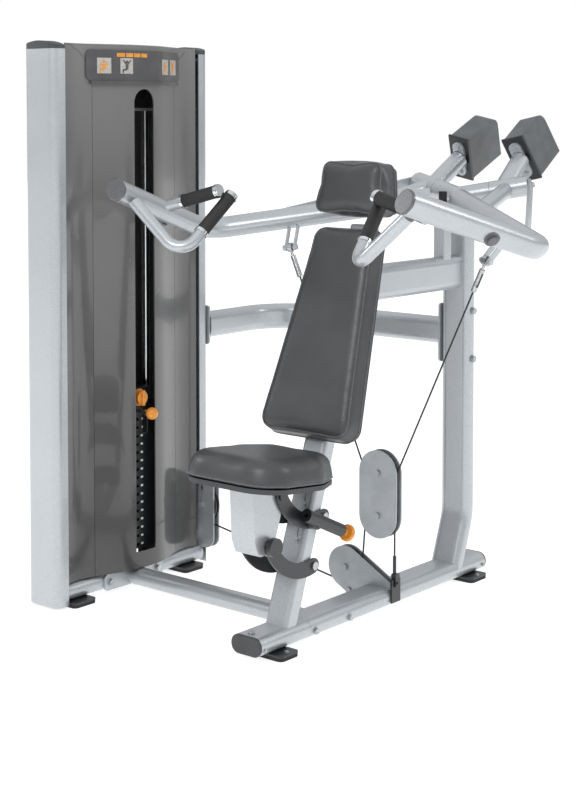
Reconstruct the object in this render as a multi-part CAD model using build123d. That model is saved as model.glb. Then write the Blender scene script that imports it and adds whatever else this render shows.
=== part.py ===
from build123d import *
import os
from math import acos, asin, atan2, cos, hypot, radians, sin, tan

# Weight-stack shoulder press. Millimetres, +Z up, the user faces -Y, the weight
# tower stands at -X. Origin on the floor under the centre of the front foot.

# Frame tube: one flat-oval section for beam, upright, brace, arms and tower base.
TUBE_WIDTH = 100
TUBE_HEIGHT = 50
TUBE_CORNER = 24
TUBE_WALL = 3
CAP_FLANGE = 8
PLUG_CLEARANCE = 0.2

# Feet and base beam
FOOT_RUBBER = 9
FOOT_PLATE = 5
FRONT_FOOT = (160, 74)
REAR_FOOT = (152, 85)
REAR_FOOT_Y = 890
BEAM_FRONT = -77
BEAM_JOINT = 119
BEAM_REAR = 958
BEAM_JOINT_GAP = 1
BEAM_BOTTOM = FOOT_RUBBER + FOOT_PLATE
BEAM_AXIS = BEAM_BOTTOM + TUBE_HEIGHT / 2
BEAM_TOP = BEAM_BOTTOM + TUBE_HEIGHT

# Leaning back post
POST_WIDTH = 76
POST_DEPTH = 50
POST_CORNER = 14
POST_LEAN = 19.5
POST_FRONT_Y = 32
POST_LENGTH = 1080

# Rear upright with its forward bend at the foot
UPRIGHT_Y = 882
UPRIGHT_FOOT_Y = 827
UPRIGHT_BEND_HEIGHT = 195
UPRIGHT_BEND = 160

# Braces
BRACE_Z = 923
STOP_POST = 40
STOP_POST_Y = 796
STOP_POST_TOP = 1126
BUMPER_RADIUS = 12
BUMPER_HEIGHT = 34
TOWER_BRACE_HEIGHT = 80
TOWER_BRACE_Z = 742
TOWER_BRACE_X = -690
TOWER_BRACE_BEND = 160
CROSS_TUBE_Y = 182
CROSS_TUBE_WIDTH = 60

# Press pivots: two tubes that meet on the upright and splay outward, back and up
PIVOT_AXIS = Vector(0.92, 0.35, 0.17).normalized()
PIVOT_MEET = Vector(0, 877, 1145)
PIVOT_RADIUS = 30
PIVOT_SHAFT = 20
PIVOT_SEAM = 100
PIVOT_END = 214
PIVOT_FIT = 0.05
SEAM_GAP = 1

# Press arm (right hand side; the left one is its mirror image)
ARM_FRONT = Vector(479, -63, 1185)
ARM_CORNER = Vector(577, 397, 1047)
ARM_INNER = Vector(50, 806, 1142)
ARM_BEND = 110
ARM_ROLL = 42.5
ARM_WIDTH = 64
ARM_DEPTH = 56
ARM_CORNER_RADIUS = 27
STUB_AT = 150
STUB_SHARE = 0.74
STUB_RADIUS = 24
STRAP_SHARE = 0.19
STRAP_WIDTH = 38
HANDLE_RADIUS = 17
HANDLE_CORE = 12
HANDLE_BEND = 45
GRIP_RADIUS = 18
COLLAR_RADIUS = 19.5
COLLAR_LENGTH = 9
LOW_HANDLE = Vector(455, -19, 1149)
LOW_HANDLE_CORNER = Vector(287, -15, 1010)
LOW_GRIP_AT = 88
LOW_GRIP_TIP = Vector(253, 151, 1170)
HIGH_HANDLE = Vector(431, 90, 1138)
HIGH_GRIP_TIP = Vector(264, 112, 1183)
HIGH_GRIP_LENGTH = 128
CLEVIS = Vector(338, 503, 1000)
CLEVIS_AXIS = Vector(0.93, -0.34, -0.12).normalized()
CLEVIS_HALF_GAP = 16
CLEVIS_PIN = 5

# Counterweight behind each pivot
LEVER_RADIUS = 28
LEVER_AT = 137
FLANGE = 7
WEIGHT_FACE = Vector(109, 1052, 1254)
WEIGHT_ACROSS = Vector(0.978, 0, 0.208).normalized()
WEIGHT_DOWN = Vector(0.19, 0.478, -0.857).normalized()
WEIGHT_SIZE = (72, 150, 166)
WEIGHT_RIM = 9

# Pads
SEAT_THICKNESS = 70
SEAT_FRONT = -188
SEAT_REAR = 150
SEAT_HALF_WIDTH = 165
SEAT_REAR_HALF_WIDTH = 110
SEAT_TILT = 5.5
SEAT_BOTTOM_Z = 445
BACK_THICKNESS = 66
BACK_BOTTOM_HALF_WIDTH = 158
BACK_TOP_HALF_WIDTH = 104
BACK_BOTTOM = 524
BACK_LENGTH = 580
HEAD_THICKNESS = 90
HEAD_BOTTOM_HALF_WIDTH = 120
HEAD_TOP_HALF_WIDTH = 98
HEAD_BOTTOM_Z = 1108
HEAD_HEIGHT = 144
HEAD_LEAN = 8.5
HEAD_BACK_Y = 418
HEAD_BAR = (60, 12, 180)
BOARD = 12
BOARD_INSET = 8

# Seat linkage: two equal links on each side, so the seat stays level
LOW_PIVOT = (136, 206)
PIVOT_SPACING = 130
LINK_REACH = (-174, 86)
LINK_WIDTH = 40
LINK_SAG = 34
LINK_INNER = 41
LINK_PLATE = 6
LINK_PIN = 8
LINK_FIT = 0.05
OPEN_PIVOT_CLEARANCE = 0.6
CARRIAGE_HALF_WIDTH = 39.5
BARREL_RADIUS = 17
BARREL_GAP = 6.5
BARREL_FRONT = (74, 356)
BARREL_REAR = (221, 287)
PULL_KNOB_RADIUS = 23
PULL_ROD = 6

# Cables and pulleys
CABLE = 2.5
PITCH = 50
SHEAVE = 55
SHEAVE_WIDTH = 16
AXLE = 6
AXLE_FIT = 0.05
GROOVE_CLEARANCE = 0.5
CABLE_Y = 492
BRACKET_HALF_GAP = 9
BRACKET_PLATE = 5
FLOAT_LOW_Z = 264
FLOAT_HIGH_Z = 385
FLOAT_RADIUS = 64
BASE_PULLEY = (-114, 98)
TOWER_PULLEY_Z = 190
TOP_PULLEY_Z = 1490
ANCHOR_Z = 80
RUN_GAP = 0.5
LEAD = 2
EYE_RADIUS = 14
EYE_CLEARANCE = 4

# Weight tower
STACK_X = -722
STACK_Y = 198
STACK_WIDTH = 110
STACK_LENGTH = 236
PLATE_COUNT = 16
PLATE_PITCH = 24.7
PLATE_GAP = 0.1
STACK_BOTTOM = 113.6
GUIDE_RADIUS = 12
GUIDE_SPACING = 92
GUIDE_TOP = 1400
SELECTOR_ROD = 9
PIN_RADIUS = 4.5
TOWER_FRONT = -116
TOWER_OUTER = -797
PANEL_INNER = -670
PANEL_WRAP = 43
PANEL_WALL = 3
PANEL_BOTTOM = 5
PANEL_TOP = 1571
CAP_TOP = 1594
COLUMN = 30
COLUMN_X = -760
TOWER_BASE_X = -724
TOWER_TOP_Z = 1552
COVER_WALL = 4
COVER_BOTTOM = 66
COVER_TOP = 1588
COVER_SEAM_Y = 32
SLOT_WIDTH = 80
SLOT_BOTTOM = 115
SLOT_TOP = 1462
PLACARD_BOTTOM = 1484
PLACARD_TOP = 1572

NODES = {}


def node(name, *pieces):
    """Keep the solids of one named node."""
    NODES[name] = [solid for piece in pieces for solid in piece.solids()]


def mirrored(pieces):
    """The same pieces on the other side of the centre plane."""
    return [mirror(piece, about=Plane.YZ) for piece in pieces]


def oval(plane, width, height, corner, inset=0):
    """Rounded tube section on a plane, shrunk all round by inset."""
    return plane * RectangleRounded(width - 2 * inset, height - 2 * inset, corner - inset)


def straight_tube(start, end, width, height, corner, across, wall=TUBE_WALL):
    """Straight rounded tube; returns the hollow tube and its outer solid."""
    start, end = Vector(start), Vector(end)
    plane = Plane(origin=start, x_dir=across, z_dir=end - start)
    length = (end - start).length
    outer = extrude(oval(plane, width, height, corner), amount=length)
    return outer - extrude(oval(plane, width, height, corner, wall), amount=length), outer


def bent_tube(corners, radius, width, height, corner, across, wall=TUBE_WALL):
    """Rounded tube along a bent line; returns the hollow tube and its outer solid."""
    path = FilletPolyline(*corners, radius=radius)
    plane = Plane(origin=corners[0], x_dir=across, z_dir=corners[1] - corners[0])
    outer = sweep(oval(plane, width, height, corner), path=path)
    return outer - sweep(oval(plane, width, height, corner, wall), path=path), outer


def rod(start, end, radius, bore=0):
    """Round rod, or a round tube when it has a bore radius."""
    start, end = Vector(start), Vector(end)
    plane = Plane(origin=start, z_dir=end - start)
    section = Circle(radius) - Circle(bore) if bore else Circle(radius)
    return extrude(plane * section, amount=(end - start).length)


def block(x, y, z):
    """Box between two limits on each axis."""
    corner = Vector(x[0], y[0], z[0])
    size = (x[1] - x[0], y[1] - y[0], z[1] - z[0])
    return Pos(corner) * Box(*size, align=(Align.MIN, Align.MIN, Align.MIN))


def bolt(seat, direction, radius=9):
    """Washer and low round head standing on a face."""
    seat, direction = Vector(seat), Vector(direction).normalized()
    washer = rod(seat, seat + direction * 2, radius * 1.35)
    return washer + rod(seat + direction * 2, seat + direction * radius, radius)


def side_plate(sketch, x, thickness):
    """Plate whose outline is drawn in Y and Z, from x towards +X."""
    return extrude(Plane.YZ.offset(x) * sketch, amount=thickness)


def front_plate(sketch, y, thickness):
    """Plate whose outline is drawn in X and Z, from y towards +Y."""
    return extrude(Plane(origin=(0, y, 0), x_dir=(1, 0, 0), z_dir=(0, -1, 0)) * sketch, amount=-thickness)


def sheave(centre, axis):
    """Grooved cable pulley with a bore for its axle."""
    centre, axis = Vector(centre), Vector(axis)
    half = SHEAVE_WIDTH / 2
    wheel = rod(centre - axis * half, centre + axis * half, SHEAVE, AXLE + AXLE_FIT)
    seat = CABLE + GROOVE_CLEARANCE
    groove = Torus(PITCH, seat) + (Cylinder(SHEAVE + 1, 2 * seat) - Cylinder(PITCH, 2 * seat))
    return wheel - Plane(origin=centre, z_dir=axis) * groove


# Base beam
def base_beam():
    """Two lengths of tube in line, butted over a hidden sleeve."""
    across = (1, 0, 0)
    size = (TUBE_WIDTH, TUBE_HEIGHT, TUBE_CORNER, across)
    front, front_solid = straight_tube((0, BEAM_FRONT, BEAM_AXIS), (0, BEAM_JOINT, BEAM_AXIS), *size)
    start = BEAM_JOINT + BEAM_JOINT_GAP
    rear, rear_solid = straight_tube((0, start, BEAM_AXIS), (0, BEAM_REAR, BEAM_AXIS), *size)
    inset = TUBE_WALL + PLUG_CLEARANCE
    plane = Plane(origin=(0, BEAM_JOINT - 60, BEAM_AXIS), x_dir=across, z_dir=(0, 1, 0))
    sleeve = extrude(oval(plane, *size[:3], inset), amount=200)
    sleeve -= extrude(oval(plane, *size[:3], inset + TUBE_WALL), amount=200)
    return front, rear, sleeve, front_solid, rear_solid


def end_cap(seat, outward, across, width=TUBE_WIDTH, height=TUBE_HEIGHT, corner=TUBE_CORNER):
    """Plastic plug with a domed flange, pushed into a tube end."""
    plane = Plane(origin=seat, x_dir=across, z_dir=outward)
    flange = extrude(oval(plane, width, height, corner), amount=CAP_FLANGE)
    flange = chamfer(flange.faces().sort_by(Axis(seat, outward))[-1].edges(), 3)
    inset = TUBE_WALL + PLUG_CLEARANCE
    return flange + extrude(oval(plane, width, height, corner, inset), amount=-22)


front_beam, rear_beam, beam_sleeve, front_beam_solid, REAR_BEAM_SOLID = base_beam()
BEAM_SOLID = front_beam_solid + REAR_BEAM_SOLID
node("base_beam", front_beam, rear_beam, beam_sleeve)
node("beam_end_caps",
     end_cap((0, BEAM_FRONT, BEAM_AXIS), (0, -1, 0), (1, 0, 0)),
     end_cap((0, BEAM_REAR, BEAM_AXIS), (0, 1, 0), (1, 0, 0)))

# Feet under the beam and under the tower
FEET = [(0, 0, FRONT_FOOT), (0, REAR_FOOT_Y, REAR_FOOT),
        (TOWER_BASE_X, -28, REAR_FOOT), (TOWER_BASE_X, 424, REAR_FOOT)]


def foot_layer(x, y, size, bottom, height, corner):
    """One rounded slab of a foot."""
    return Pos(x, y, bottom) * extrude(RectangleRounded(*size, corner), amount=height)


node("foot_plates", *[foot_layer(x, y, size, FOOT_RUBBER, FOOT_PLATE, 12) for x, y, size in FEET])
node("foot_pads", *[foot_layer(x, y, size, 0, FOOT_RUBBER, 14) for x, y, size in FEET])

# Back post, leaning with the backrest
POST_UP = Vector(0, sin(radians(POST_LEAN)), cos(radians(POST_LEAN)))
POST_OUT = Vector(0, -cos(radians(POST_LEAN)), sin(radians(POST_LEAN)))
POST_FACE = Vector(0, POST_FRONT_Y, BEAM_TOP)


def on_post(along, out=0, x=0):
    """Point by its distance up the post's front face, out from it and across it."""
    return POST_FACE + POST_UP * along + POST_OUT * out + Vector(x, 0, 0)


def back_post():
    """Leaning tube with an end plug and the two pivot bushes on its rear face."""
    start = on_post(-30, -POST_DEPTH / 2)
    end = on_post(POST_LENGTH, -POST_DEPTH / 2)
    section = (POST_WIDTH, POST_DEPTH, POST_CORNER, (1, 0, 0))
    tube, solid = straight_tube(start, end, *section)
    bushes = [rod((-POST_WIDTH / 2, *point), (POST_WIDTH / 2, *point), 16) for point in POST_PIVOTS]
    bores = [rod((-60, *point), (60, *point), LINK_PIN) for point in POST_PIVOTS]
    body = tube - BEAM_SOLID + bushes
    return body - bores, solid + bushes


low_y, low_z = LOW_PIVOT
HIGH_PIVOT = (low_y + PIVOT_SPACING * POST_UP.Y, low_z + PIVOT_SPACING * POST_UP.Z)
POST_PIVOTS = [LOW_PIVOT, HIGH_PIVOT]
post, POST_SOLID = back_post()
plug = end_cap(on_post(POST_LENGTH, -POST_DEPTH / 2), POST_UP, (1, 0, 0), POST_WIDTH, POST_DEPTH, POST_CORNER)
node("back_post", post, plug)


def adjuster_plate(along, x):
    """Bright latch plate with an oval hole and a screw at each end."""
    plane = Plane(origin=on_post(along, 0, x), x_dir=POST_UP, z_dir=POST_OUT)
    plate = extrude(plane * (RectangleRounded(64, 20, 6) - SlotOverall(26, 11)), amount=2.5)
    screws = [bolt(on_post(along + end * 25, 2.5, x), POST_OUT, 4) for end in (-1, 1)]
    return plate + screws



# Rear upright, pivot housing and braces
upright_path = [Vector(0, UPRIGHT_FOOT_Y - 4, BEAM_AXIS), Vector(0, UPRIGHT_Y, UPRIGHT_BEND_HEIGHT),
                Vector(0, UPRIGHT_Y, PIVOT_MEET.Z)]
upright, UPRIGHT_SOLID = bent_tube(upright_path, UPRIGHT_BEND, TUBE_WIDTH, TUBE_HEIGHT, TUBE_CORNER,
                                   (1, 0, 0))


def on_pivot(distance):
    """Point on the right pivot axis, measured from where both axes meet."""
    return PIVOT_MEET + PIVOT_AXIS * distance


def pivot_housing():
    """The two fixed housings, mitred together, and the shafts that stand out of them."""
    keep = block((-1, 400), (700, 1200), (1000, 1400))
    solid = rod(on_pivot(-40), on_pivot(PIVOT_SEAM), PIVOT_RADIUS) & block((0, 400), (700, 1200),
                                                                           (1000, 1400))
    bore = rod(on_pivot(-60), on_pivot(PIVOT_SEAM), PIVOT_SHAFT) & keep
    shaft = rod(on_pivot(-40), on_pivot(PIVOT_END - 4), PIVOT_SHAFT) & block((0, 400), (700, 1200),
                                                                             (1000, 1400))
    outer = solid + mirror(solid, about=Plane.YZ)
    housing = outer - bore - mirror(bore, about=Plane.YZ)
    return housing, shaft + mirror(shaft, about=Plane.YZ), outer


housing, shafts, HOUSING_SOLID = pivot_housing()
node("pivot_housing", housing, shafts)
node("rear_upright", upright - BEAM_SOLID - HOUSING_SOLID)

brace, BRACE_SOLID = straight_tube((0, 330, BRACE_Z), (0, UPRIGHT_Y, BRACE_Z),
                                   TUBE_WIDTH, TUBE_HEIGHT, TUBE_CORNER, (0, 0, 1))


def stop_post():
    """Square post on the brace with a closed top."""
    tube, solid = straight_tube((0, STOP_POST_Y, BRACE_Z), (0, STOP_POST_Y, STOP_POST_TOP),
                                STOP_POST, STOP_POST, 6, (1, 0, 0))
    lid = extrude(Plane(origin=(0, STOP_POST_Y, STOP_POST_TOP)) * RectangleRounded(STOP_POST, STOP_POST,
                                                                                   6), amount=4)
    return tube - BRACE_SOLID + lid


def behind_post(piece):
    """Trim a piece back to the rear face of the leaning post."""
    plane = Plane(origin=on_post(0, -POST_DEPTH), x_dir=(1, 0, 0), z_dir=-POST_OUT)
    keep = extrude(plane * Rectangle(400, 4000), amount=1500)
    return piece & keep


node("upper_brace", behind_post(brace) - UPRIGHT_SOLID, stop_post())
bumper_base = Vector(0, STOP_POST_Y, STOP_POST_TOP + 4)
bumper = rod(bumper_base, bumper_base + Vector(0, 0, BUMPER_HEIGHT), BUMPER_RADIUS)

brace_path = [Vector(TOWER_BRACE_X, 518, TOWER_BRACE_Z), Vector(TOWER_BRACE_X, UPRIGHT_Y, TOWER_BRACE_Z),
              Vector(-TUBE_WIDTH / 2 - 6, UPRIGHT_Y, TOWER_BRACE_Z)]
side_brace = bent_tube(brace_path, TOWER_BRACE_BEND, TOWER_BRACE_HEIGHT, TUBE_HEIGHT,
                       TUBE_CORNER, (0, 0, 1))[0]
upright_flange = side_plate(Pos(UPRIGHT_Y, TOWER_BRACE_Z - 5) * RectangleRounded(48, 176, 10),
                            -TUBE_WIDTH / 2 - 6, 6)
tower_flange = front_plate(Pos(TOWER_BRACE_X - 22, TOWER_BRACE_Z) * RectangleRounded(84, 120, 10), 512, 6)
node("tower_brace", side_brace, upright_flange, tower_flange)

FLANGE_X = TOWER_BASE_X + TUBE_WIDTH / 2
cross = straight_tube((FLANGE_X + 7, CROSS_TUBE_Y, BEAM_AXIS), (-20, CROSS_TUBE_Y, BEAM_AXIS),
                      CROSS_TUBE_WIDTH, TUBE_HEIGHT - 1, TUBE_CORNER, (0, 1, 0))[0]
cross_flange = side_plate(Pos(CROSS_TUBE_Y, BEAM_AXIS) * RectangleRounded(236, 48, 12), FLANGE_X, 7)
node("cross_tube", cross - REAR_BEAM_SOLID, cross_flange)

# Fasteners of the frame
side = TUBE_WIDTH / 2
node("frame_bolts",
     *[bolt((side, y, BEAM_AXIS - 6), (1, 0, 0), 8) for y in (BEAM_JOINT + 21, BEAM_JOINT + 168)],
     *[bolt((side, y, BEAM_AXIS - 6), (1, 0, 0), 4) for y in (BEAM_FRONT + 12, BEAM_REAR - 14)],
     bolt((0, BEAM_FRONT + 17, BEAM_TOP), (0, 0, 1), 8),
     *[bolt((side, UPRIGHT_Y, TOWER_BRACE_Z + dz), (1, 0, 0)) for dz in (66, -77)],
     *[bolt((-side - 6, UPRIGHT_Y, TOWER_BRACE_Z + dz), (-1, 0, 0)) for dz in (66, -77)],
     *[bolt((FLANGE_X + 7, CROSS_TUBE_Y + dy, BEAM_AXIS), (1, 0, 0)) for dy in (-97, 97)],
     *[bolt((x + dx, y, FOOT_RUBBER + FOOT_PLATE), (0, 0, 1), 5)
       for x, y, size in FEET[:2] for dx in (-66, 66)])

# Pads with their boards, and the bracket that carries the headrest


def tapered(bottom, top, length, corner):
    """Upright trapezium with rounded corners, its bottom edge on the X axis."""
    points = [(-bottom, 0), (bottom, 0), (top, length), (-top, length)]
    shape = make_face(Polyline(*points, close=True))
    return fillet(shape.vertices(), corner)


def pad(plane, outline, thickness, edge):
    """Soft pad raised from a plane with a rounded face edge."""
    body = extrude(plane * outline, amount=thickness)
    face = body.faces().sort_by(Axis(plane.origin, plane.z_dir))[-1]
    return fillet(face.edges(), edge)


back_plane = Plane(origin=on_post((BACK_BOTTOM - BEAM_TOP) / POST_UP.Z, BOARD), x_dir=(1, 0, 0),
                   z_dir=POST_OUT)
back_outline = tapered(BACK_BOTTOM_HALF_WIDTH, BACK_TOP_HALF_WIDTH, BACK_LENGTH, 42)
node("backrest_pad", pad(back_plane, back_outline, BACK_THICKNESS - BOARD, 20))
back_board = extrude(back_plane * offset(back_outline, -BOARD_INSET), amount=-BOARD)

head_up = Vector(0, sin(radians(HEAD_LEAN)), cos(radians(HEAD_LEAN)))
head_out = Vector(0, -cos(radians(HEAD_LEAN)), sin(radians(HEAD_LEAN)))
head_back = Vector(0, HEAD_BACK_Y, HEAD_BOTTOM_Z)
head_plane = Plane(origin=head_back + head_out * BOARD, x_dir=(1, 0, 0), z_dir=head_out)
head_outline = tapered(HEAD_BOTTOM_HALF_WIDTH, HEAD_TOP_HALF_WIDTH, HEAD_HEIGHT, 24)
node("headrest_pad", pad(head_plane, head_outline, HEAD_THICKNESS - BOARD, 20))
head_board = extrude(head_plane * offset(head_outline, -BOARD_INSET), amount=-BOARD)


def head_bar():
    """Flat bar from the top of the post up behind the headrest."""
    width, thickness, length = HEAD_BAR
    plane = Plane(origin=on_post(POST_LENGTH - 60, -TUBE_WALL - thickness), x_dir=(1, 0, 0), z_dir=POST_UP)
    bar = extrude(plane * Rectangle(width, thickness, align=(Align.CENTER, Align.MAX)), amount=length)
    behind = extrude(head_plane.offset(-BOARD) * Rectangle(400, 400), amount=-200)
    return bar & behind


node("pad_boards", back_board, head_board, head_bar())

# Seat, riding on a parallel linkage


def link_end(pivot):
    """Carriage end of a link that starts at a post pivot."""
    return pivot[0] + LINK_REACH[0], pivot[1] + LINK_REACH[1]


LOW_CARRIAGE = link_end(LOW_PIVOT)
HIGH_CARRIAGE = link_end(HIGH_PIVOT)
seat_out = Vector(0, sin(radians(SEAT_TILT)), cos(radians(SEAT_TILT)))
seat_plane = Plane(origin=(0, 0, SEAT_BOTTOM_Z), x_dir=(1, 0, 0), z_dir=seat_out)


def seat_outline():
    """Broad rounded front that narrows towards the backrest."""
    points = [(-SEAT_HALF_WIDTH, SEAT_FRONT), (SEAT_HALF_WIDTH, SEAT_FRONT), (SEAT_HALF_WIDTH, 40),
              (SEAT_REAR_HALF_WIDTH, SEAT_REAR), (-SEAT_REAR_HALF_WIDTH, SEAT_REAR), (-SEAT_HALF_WIDTH, 40)]
    face = make_face(Polyline(*points, close=True))
    face = fillet(face.vertices().sort_by(Axis.Y)[:2], 95)
    corners = face.vertices().sort_by(Axis.Y)
    face = fillet(corners[-2:], 35)
    return fillet([v for v in face.vertices() if abs(v.Y - 40) < 1], 80)


cushion_plane = seat_plane.offset(BOARD)
node("seat_cushion", pad(cushion_plane, seat_outline(), SEAT_THICKNESS - BOARD, 24))
node("seat_board", extrude(cushion_plane * offset(seat_outline(), -BOARD_INSET), amount=-BOARD))


def seat_carriage():
    """Cast box under the seat with an ear on each side for the link pins."""
    top = SEAT_BOTTOM_Z + 20
    outline = Polyline((-100, top), (-12, top), (-22, 300), (-30, 272), (-76, 272), (-92, 310), close=True)
    face = fillet(make_face(outline).vertices().sort_by(Axis.Y)[:], 10)
    box = side_plate(face, -CARRIAGE_HALF_WIDTH, 2 * CARRIAGE_HALF_WIDTH)
    low, high = Pos(*LOW_CARRIAGE), Pos(*HIGH_CARRIAGE)
    ear = make_hull((low * Circle(20)).edges() + (high * Circle(20)).edges())
    ears = [side_plate(ear, x, 9) for x in (-CARRIAGE_HALF_WIDTH, CARRIAGE_HALF_WIDTH - 9)]
    body = box + ears
    under_seat = extrude(seat_plane * Rectangle(600, 900), amount=-400)
    holes = side_plate(low * Circle(LINK_PIN + LINK_FIT) + high * Circle(LINK_PIN + OPEN_PIVOT_CLEARANCE), -60, 120)
    return (body & under_seat) - holes


node("seat_carriage", seat_carriage())


def link_pair(pivot):
    """Curved link plates on both sides, with the pin that carries the seat."""
    end = link_end(pivot)
    middle = ((pivot[0] + end[0]) / 2, (pivot[1] + end[1]) / 2)
    length = hypot(*LINK_REACH)
    sag = (middle[0] + LINK_SAG * LINK_REACH[1] / length * -1, middle[1] + LINK_SAG * LINK_REACH[0] / length)
    outline = SlotArc(ThreePointArc(end, sag, pivot), LINK_WIDTH)
    outline -= Pos(*pivot) * Circle(LINK_PIN + LINK_FIT)
    plates = [side_plate(outline, x, LINK_PLATE) for x in (LINK_INNER, -LINK_INNER - LINK_PLATE)]
    reach = LINK_INNER + LINK_PLATE
    pin = rod((-reach, *end), (reach, *end), LINK_PIN)
    heads = [rod((s * reach, *end), (s * (reach + 4), *end), 11) for s in (-1, 1)]
    return [plates[0] + pin + heads + plates[1]]


barrel_axis = Vector(0, BARREL_REAR[0] - BARREL_FRONT[0], BARREL_REAR[1] - BARREL_FRONT[1]).normalized()
barrel_x = LINK_INNER + LINK_PLATE + BARREL_GAP + BARREL_RADIUS
barrel_end = Vector(barrel_x, *BARREL_REAR)
barrel = rod((barrel_x, *BARREL_FRONT), barrel_end, BARREL_RADIUS, PULL_ROD + LINK_FIT)
collar = rod(barrel_end, barrel_end + barrel_axis * 8, 12, PULL_ROD + LINK_FIT)
web = block((LINK_INNER + LINK_PLATE, barrel_x), (100, 150), (290, 345))
web = web & rod((0, 125, 330), (100, 125, 330), 22)
node("seat_link_upper", link_pair(HIGH_PIVOT)[0] + (web - rod(barrel_end,
                                                              barrel_end - barrel_axis * 160, 10)) + (barrel + collar))
pivot_cap = rod((LINK_INNER + LINK_PLATE + 4, *LOW_CARRIAGE),
                (LINK_INNER + LINK_PLATE + 18, *LOW_CARRIAGE), 25)
node("seat_link_lower", link_pair(LOW_PIVOT)[0] + pivot_cap)
knob_start = barrel_end + barrel_axis * 8.5
knob = rod(knob_start, knob_start + barrel_axis * 14, 9)
knob += rod(knob_start + barrel_axis * 14, knob_start + barrel_axis * 28, PULL_KNOB_RADIUS)
knob = fillet(knob.edges().filter_by(GeomType.CIRCLE).group_by(SortBy.RADIUS)[-1], 5)
node("seat_pull_pin", knob + rod(barrel_end - barrel_axis * 120, knob_start + barrel_axis, PULL_ROD))


def post_pin(point):
    """Pin through a post bush, headed outside both link plates."""
    reach = LINK_INNER + LINK_PLATE + 0.5
    pin = rod((-reach, *point), (reach, *point), LINK_PIN)
    return pin + [rod((s * reach, *point), (s * (reach + 5), *point), 11) for s in (-1, 1)]


node("post_hardware", adjuster_plate(246, 16), adjuster_plate(338, 16),
     *[post_pin(point) for point in POST_PIVOTS])

# Press arms
arm_along = (ARM_CORNER - ARM_FRONT).normalized()
arm_level = arm_along.cross(Vector(0, 0, 1)).normalized()
arm_upright = arm_level.cross(arm_along).normalized()
ARM_LONG = arm_upright * cos(radians(ARM_ROLL)) + arm_level * sin(radians(ARM_ROLL))
ARM_FLAT = arm_along.cross(ARM_LONG).normalized()
ARM_REAR_RUN = (ARM_INNER - ARM_CORNER).normalized()


def press_arm():
    """Bent flat-oval tube, closed by a plate at its inner end."""
    corners = [ARM_FRONT, ARM_CORNER, ARM_INNER]
    hollow, solid = bent_tube(corners, ARM_BEND, ARM_WIDTH, ARM_DEPTH, ARM_CORNER_RADIUS, ARM_LONG)
    inner_end = solid.faces().sort_by(Axis(ARM_CORNER, ARM_REAR_RUN))[-1]
    return hollow + extrude(inner_end, amount=-TUBE_WALL, dir=ARM_REAR_RUN), solid


def clevis(arm_solid):
    """Two straps under the arm that hold the pin of the arm cable."""
    share = (ARM_CORNER.X - CLEVIS.X) / (ARM_CORNER.X - ARM_INNER.X)
    above = ARM_CORNER + (ARM_INNER - ARM_CORNER) * share - CLEVIS
    up = (above - CLEVIS_AXIS * above.dot(CLEVIS_AXIS)).normalized()
    straps = []
    for offset_out in (-CLEVIS_HALF_GAP, CLEVIS_HALF_GAP - 5):
        plane = Plane(origin=CLEVIS + CLEVIS_AXIS * offset_out, x_dir=up, z_dir=CLEVIS_AXIS)
        straps.append(extrude(plane * Pos(45) * SlotOverall(110, 15), amount=5) - arm_solid)
    reach = CLEVIS_AXIS * (CLEVIS_HALF_GAP + 7)
    pin = rod(CLEVIS - reach, CLEVIS + reach, CLEVIS_PIN)
    heads = [rod(CLEVIS + CLEVIS_AXIS * s * CLEVIS_HALF_GAP,
                 CLEVIS + CLEVIS_AXIS * s * (CLEVIS_HALF_GAP + 6), 8)
             for s in (-1, 1)]
    return straps[0] + straps[1] + pin + heads


def handles(arm_solid):
    """The low handle's bent tube and the high handle's stub, with their thinner cores."""
    path = FilletPolyline(LOW_HANDLE, LOW_HANDLE_CORNER, LOW_GRIP_START, radius=HANDLE_BEND)
    section = Plane(origin=LOW_HANDLE, z_dir=LOW_HANDLE_CORNER - LOW_HANDLE) * Circle(HANDLE_RADIUS)
    low = sweep(section, path=path) + rod(LOW_GRIP_START, LOW_GRIP_TIP, HANDLE_CORE)
    high = rod(HIGH_HANDLE, HIGH_GRIP_START, HANDLE_RADIUS) + rod(HIGH_GRIP_START, HIGH_GRIP_TIP, HANDLE_CORE)
    return low - arm_solid, high - arm_solid


def grip(start, tip):
    """Rubber sleeve between two bright collars, the outer one closing the end."""
    along = (tip - start).normalized()
    first = rod(start, start + along * COLLAR_LENGTH, COLLAR_RADIUS, HANDLE_CORE)
    sleeve = rod(start + along * COLLAR_LENGTH, tip - along * COLLAR_LENGTH, GRIP_RADIUS, HANDLE_CORE)
    last = rod(tip - along * COLLAR_LENGTH, tip, COLLAR_RADIUS, HANDLE_CORE)
    lid = rod(tip, tip + along * 4, COLLAR_RADIUS - 2)
    return first, sleeve, last + lid


LOW_GRIP_START = LOW_HANDLE_CORNER + (LOW_GRIP_TIP - LOW_HANDLE_CORNER).normalized() * LOW_GRIP_AT
HIGH_GRIP_START = HIGH_GRIP_TIP + (HIGH_HANDLE - HIGH_GRIP_TIP).normalized() * HIGH_GRIP_LENGTH
arm_hollow, ARM_SOLID = press_arm()
arm_pieces = [arm_hollow, *handles(ARM_SOLID), clevis(ARM_SOLID)]
grip_pieces = [*grip(LOW_GRIP_START, LOW_GRIP_TIP), *grip(HIGH_GRIP_START, HIGH_GRIP_TIP)]


def arm_plug():
    """Domed plug in the outer flat of the front run."""
    seat = ARM_FRONT + arm_along * 279 + ARM_FLAT * (ARM_DEPTH / 2)
    ring = rod(seat, seat + ARM_FLAT * 5, 20)
    return ring + rod(seat + ARM_FLAT * 5, seat + ARM_FLAT * 11, 14)


front_cap = end_cap(ARM_FRONT, ARM_FRONT - ARM_CORNER, ARM_LONG, ARM_WIDTH, ARM_DEPTH, ARM_CORNER_RADIUS)
cap_pieces = [front_cap, arm_plug()]


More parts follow.
